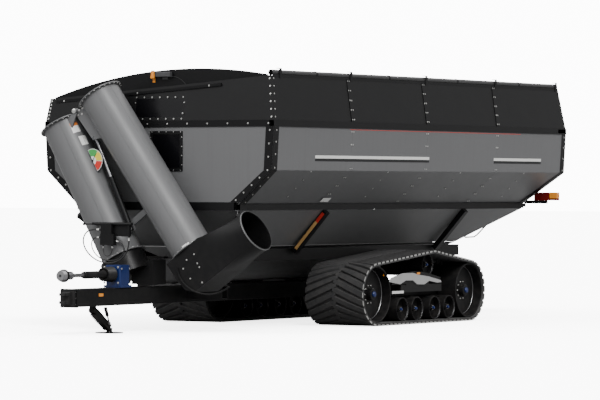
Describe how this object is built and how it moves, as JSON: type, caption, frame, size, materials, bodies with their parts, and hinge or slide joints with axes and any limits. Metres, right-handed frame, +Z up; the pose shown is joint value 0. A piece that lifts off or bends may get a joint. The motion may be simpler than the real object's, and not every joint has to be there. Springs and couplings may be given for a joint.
{
  "type": "grain cart",
  "caption": "Tracked grain cart: sheet steel hopper with extension, folding side auger with spout, drawbar, jack, drive shaft and belted track units that rock.",
  "frame": {"origin": "on the ground in the middle of the whole cart's outline", "axes": "+X forward to the hitch, +Y to the cart's left, +Z up"},
  "size_m": [13.132, 4.7442, 4.3819],
  "materials": {
    "grey_paint": "satin",
    "black_paint": "satin",
    "wheel_paint": "satin",
    "blue_paint": "gloss",
    "bare_steel": "brushed",
    "cast_iron": "cast",
    "track_rubber": "matt",
    "hose_rubber": "matt",
    "guard_plastic": "matt",
    "tarp_fabric": "woven",
    "window_glass": "gloss",
    "amber_lens": "gloss",
    "lamp_housing": "matt",
    "red_lens": "gloss"
  },
  "bodies": {
    "cart": {"hopper_panels": "grey_paint", "lower_hopper": "grey_paint", "extension_panels": "black_paint", "ring_rails": "black_paint", "seam_strips": "black_paint", "window_frame": "black_paint", "window_panes": "window_glass", "tank_braces": "grey_paint", "tarp_arch": "black_paint", "tarp_roll": "tarp_fabric", "tarp_stops": "black_paint", "beacon": "amber_lens", "work_light": "lamp_housing", "tail_lamp_arms": "black_paint", "tail_lamps": "red_lens", "main_frame": "black_paint", "axle_beam": "black_paint", "drawbar": "black_paint", "hitch_clevis": "cast_iron", "floor_trough": "grey_paint", "sump_housing": "black_paint", "lower_tube": "grey_paint", "pto_gearbox": "blue_paint", "pto_guard": "guard_plastic", "hose_bar": "black_paint", "hydraulic_hose_a": "hose_rubber", "hydraulic_hose_b": "hose_rubber", "light_harness": "hose_rubber", "fold_cylinder": "black_paint"},
    "upper_auger": {"upper_tube": "grey_paint", "discharge_boot": "black_paint"},
    "upper_screw": {"upper_screw": "bare_steel"},
    "spout": {"spout_hood": "black_paint"},
    "lower_screw": {"lower_screw": "bare_steel"},
    "floor_screw": {"floor_screw": "bare_steel"},
    "pto_shaft": {"pto_shaft": "bare_steel"},
    "flow_gate": {"flow_gate": "black_paint"},
    "fold_rod": {"fold_rod": "bare_steel"},
    "jack_leg": {"jack_leg": "black_paint"},
    "jack_foot": {"jack_foot": "black_paint"},
    "jack_cylinder": {"jack_cylinder": "black_paint"},
    "jack_rod": {"jack_rod": "bare_steel"},
    "track_left": {"track_frame_left": "black_paint", "belt_left": "track_rubber"},
    "front_wheel_left": {"front_wheel_left": "wheel_paint"},
    "rear_wheel_left": {"rear_wheel_left": "wheel_paint"},
    "carrier_left": {"carrier_left": "wheel_paint"},
    "roller_1_left": {"roller_1_left": "wheel_paint"},
    "roller_2_left": {"roller_2_left": "wheel_paint"},
    "roller_3_left": {"roller_3_left": "wheel_paint"},
    "roller_4_left": {"roller_4_left": "wheel_paint"},
    "track_right": {"track_frame_right": "black_paint", "belt_right": "track_rubber"},
    "front_wheel_right": {"front_wheel_right": "wheel_paint"},
    "rear_wheel_right": {"rear_wheel_right": "wheel_paint"},
    "carrier_right": {"carrier_right": "wheel_paint"},
    "roller_1_right": {"roller_1_right": "wheel_paint"},
    "roller_2_right": {"roller_2_right": "wheel_paint"},
    "roller_3_right": {"roller_3_right": "wheel_paint"},
    "roller_4_right": {"roller_4_right": "wheel_paint"}
  },
  "joints": [
    {"name": "auger_fold", "type": "hinge", "parent": "cart", "child": "upper_auger", "pos_m": [4.215, -1.227, 3.67], "axis": [1, 0, 0], "range_deg": [0, 172.8]},
    {"name": "upper_screw_spin", "type": "hinge", "parent": "upper_auger", "child": "upper_screw", "pos_m": [4.215, -0.86294, 3.9345], "axis": [0, -0.5878, 0.809], "continuous": true},
    {"name": "spout_tilt", "type": "hinge", "parent": "upper_auger", "child": "spout", "pos_m": [4.215, 1.42643, 1.5977], "axis": [1, 0, 0], "range_deg": [0, 35]},
    {"name": "lower_screw_spin", "type": "hinge", "parent": "cart", "child": "lower_screw", "pos_m": [4.215, -1.62058, 3.45184], "axis": [0, -0.4848, 0.8746], "continuous": true},
    {"name": "floor_screw_spin", "type": "hinge", "parent": "cart", "child": "floor_screw", "pos_m": [0, 0, 0.99], "axis": [1, 0, 0], "continuous": true},
    {"name": "pto_spin", "type": "hinge", "parent": "cart", "child": "pto_shaft", "pos_m": [3.765, 0, 0.965], "axis": [1, 0, 0], "continuous": true},
    {"name": "flow_gate_slide", "type": "slide", "parent": "cart", "child": "flow_gate", "axis": [1, 0, 0], "range_m": [-0.9, 0]},
    {"name": "fold_rod_slide", "type": "slide", "parent": "cart", "child": "fold_rod", "axis": [0, -0.423, 0.9061], "range_m": [-0.45, 0]},
    {"name": "jack_fold", "type": "hinge", "parent": "cart", "child": "jack_leg", "pos_m": [5.645, 0, 0.39], "axis": [0, 1, 0], "range_deg": [0, 30]},
    {"name": "jack_foot_tilt", "type": "hinge", "parent": "jack_leg", "child": "jack_foot", "pos_m": [5.175, 0, 0.062], "axis": [0, 1, 0], "range_deg": [-24, 9]},
    {"name": "jack_cylinder_swing", "type": "hinge", "parent": "cart", "child": "jack_cylinder", "pos_m": [5.42, 0.092, 0.425], "axis": [0, 1, 0], "range_deg": [0, 47.14]},
    {"name": "jack_rod_slide", "type": "slide", "parent": "jack_cylinder", "child": "jack_rod", "axis": [-0.4134, 0, -0.9105], "range_m": [-0.096, 0]},
    {"name": "track_rock_left", "type": "hinge", "parent": "cart", "child": "track_left", "pos_m": [-1.45, 1.6135, 0.655], "axis": [0, 1, 0], "range_deg": [-8, 8]},
    {"name": "front_wheel_left_spin", "type": "hinge", "parent": "track_left", "child": "front_wheel_left", "pos_m": [0.185, 1.6135, 0.55], "axis": [0, 1, 0], "continuous": true},
    {"name": "rear_wheel_left_spin", "type": "hinge", "parent": "track_left", "child": "rear_wheel_left", "pos_m": [-3.085, 1.6135, 0.55], "axis": [0, 1, 0], "continuous": true},
    {"name": "carrier_left_spin", "type": "hinge", "parent": "track_left", "child": "carrier_left", "pos_m": [-1.785, 1.6135, 1.032], "axis": [0, 1, 0], "continuous": true},
    {"name": "roller_1_left_spin", "type": "hinge", "parent": "track_left", "child": "roller_1_left", "pos_m": [-0.715, 1.6135, 0.27], "axis": [0, 1, 0], "continuous": true},
    {"name": "roller_2_left_spin", "type": "hinge", "parent": "track_left", "child": "roller_2_left", "pos_m": [-1.235, 1.6135, 0.27], "axis": [0, 1, 0], "continuous": true},
    {"name": "roller_3_left_spin", "type": "hinge", "parent": "track_left", "child": "roller_3_left", "pos_m": [-1.855, 1.6135, 0.27], "axis": [0, 1, 0], "continuous": true},
    {"name": "roller_4_left_spin", "type": "hinge", "parent": "track_left", "child": "roller_4_left", "pos_m": [-2.375, 1.6135, 0.27], "axis": [0, 1, 0], "continuous": true},
    {"name": "track_rock_right", "type": "hinge", "parent": "cart", "child": "track_right", "pos_m": [-1.45, -1.6135, 0.655], "axis": [0, 1, 0], "range_deg": [-8, 8]},
    {"name": "front_wheel_right_spin", "type": "hinge", "parent": "track_right", "child": "front_wheel_right", "pos_m": [0.185, -1.6135, 0.55], "axis": [0, 1, 0], "continuous": true},
    {"name": "rear_wheel_right_spin", "type": "hinge", "parent": "track_right", "child": "rear_wheel_right", "pos_m": [-3.085, -1.6135, 0.55], "axis": [0, 1, 0], "continuous": true},
    {"name": "carrier_right_spin", "type": "hinge", "parent": "track_right", "child": "carrier_right", "pos_m": [-1.785, -1.6135, 1.032], "axis": [0, 1, 0], "continuous": true},
    {"name": "roller_1_right_spin", "type": "hinge", "parent": "track_right", "child": "roller_1_right", "pos_m": [-0.715, -1.6135, 0.27], "axis": [0, 1, 0], "continuous": true},
    {"name": "roller_2_right_spin", "type": "hinge", "parent": "track_right", "child": "roller_2_right", "pos_m": [-1.235, -1.6135, 0.27], "axis": [0, 1, 0], "continuous": true},
    {"name": "roller_3_right_spin", "type": "hinge", "parent": "track_right", "child": "roller_3_right", "pos_m": [-1.855, -1.6135, 0.27], "axis": [0, 1, 0], "continuous": true},
    {"name": "roller_4_right_spin", "type": "hinge", "parent": "track_right", "child": "roller_4_right", "pos_m": [-2.375, -1.6135, 0.27], "axis": [0, 1, 0], "continuous": true}
  ],
  "couplings": [
    {"joint": "lower_screw_spin", "follows": "floor_screw_spin", "ratio": -1.25},
    {"joint": "pto_spin", "follows": "floor_screw_spin", "ratio": 2},
    {"joint": "fold_rod_slide", "follows": "auger_fold", "m_per_rad": -0.14589},
    {"joint": "jack_cylinder_swing", "follows": "jack_fold", "ratio": 1.5379},
    {"joint": "jack_rod_slide", "follows": "jack_fold", "m_per_rad": -0.17757},
    {"joint": "rear_wheel_left_spin", "follows": "front_wheel_left_spin", "ratio": 1},
    {"joint": "carrier_left_spin", "follows": "front_wheel_left_spin", "ratio": 2.45},
    {"joint": "roller_1_left_spin", "follows": "front_wheel_left_spin", "ratio": 2.3333},
    {"joint": "roller_2_left_spin", "follows": "front_wheel_left_spin", "ratio": 2.3333},
    {"joint": "roller_3_left_spin", "follows": "front_wheel_left_spin", "ratio": 2.3333},
    {"joint": "roller_4_left_spin", "follows": "front_wheel_left_spin", "ratio": 2.3333},
    {"joint": "rear_wheel_right_spin", "follows": "front_wheel_right_spin", "ratio": 1},
    {"joint": "carrier_right_spin", "follows": "front_wheel_right_spin", "ratio": 2.45},
    {"joint": "roller_1_right_spin", "follows": "front_wheel_right_spin", "ratio": 2.3333},
    {"joint": "roller_2_right_spin", "follows": "front_wheel_right_spin", "ratio": 2.3333},
    {"joint": "roller_3_right_spin", "follows": "front_wheel_right_spin", "ratio": 2.3333},
    {"joint": "roller_4_right_spin", "follows": "front_wheel_right_spin", "ratio": 2.3333}
  ]
}
